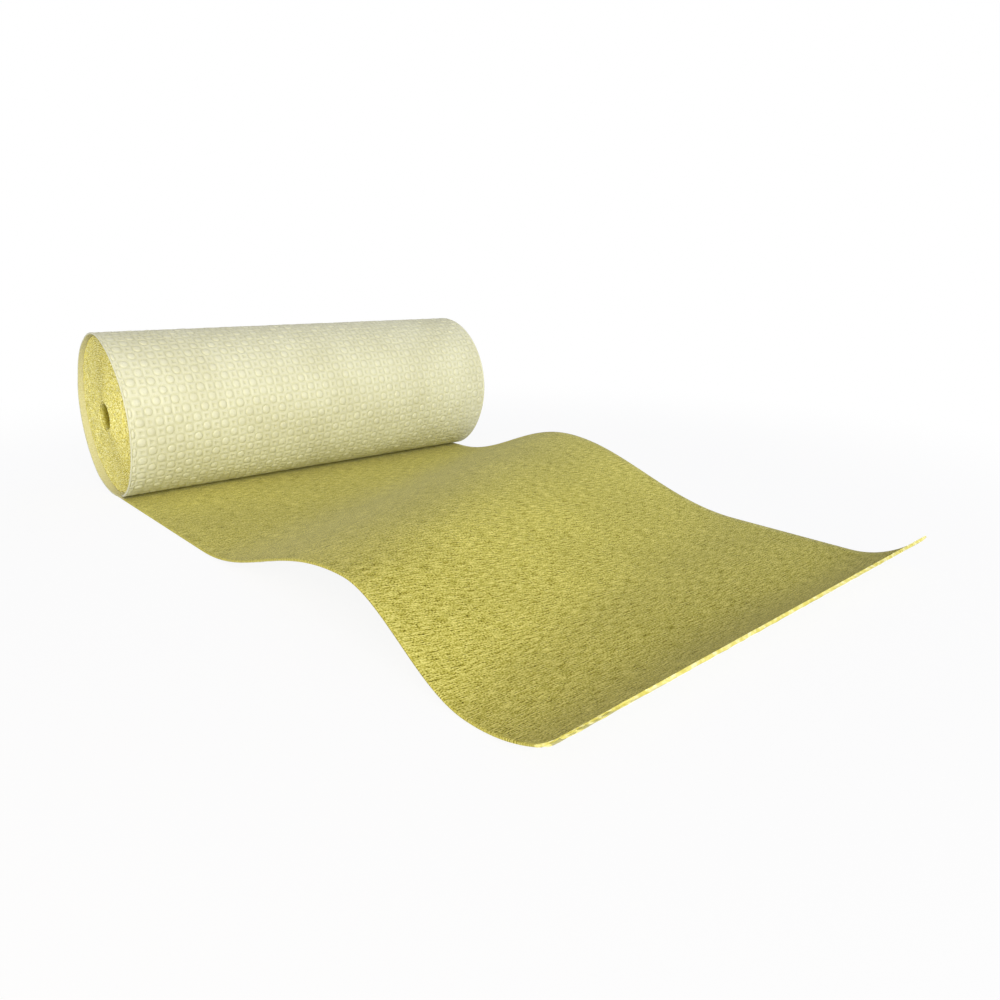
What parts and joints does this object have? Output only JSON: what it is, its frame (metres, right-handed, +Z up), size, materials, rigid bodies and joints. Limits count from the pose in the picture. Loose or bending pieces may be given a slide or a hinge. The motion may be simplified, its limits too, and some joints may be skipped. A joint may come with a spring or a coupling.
{
  "type": "uncoupling membrane roll",
  "caption": "Roll of studded uncoupling membrane with fleece backing, wound with an open bore, its loose end laid out on the floor in a slanting wave and turned up at the edge.",
  "frame": {"origin": "on the floor, under the middle of the whole piece's box", "axes": "+X along the loose sheet, away from the roll; +Y along the roll's axis, from its near end to its far end; +Z up from the floor"},
  "size_m": [1.6545, 1, 0.38],
  "materials": {
    "studded_face": "matte pale cream plastic with pressed round studs",
    "fleece_face": "olive yellow fleece of short fibres"
  },
  "bodies": {
    "root": {"membrane": "studded_face"}
  },
  "joints": []
}
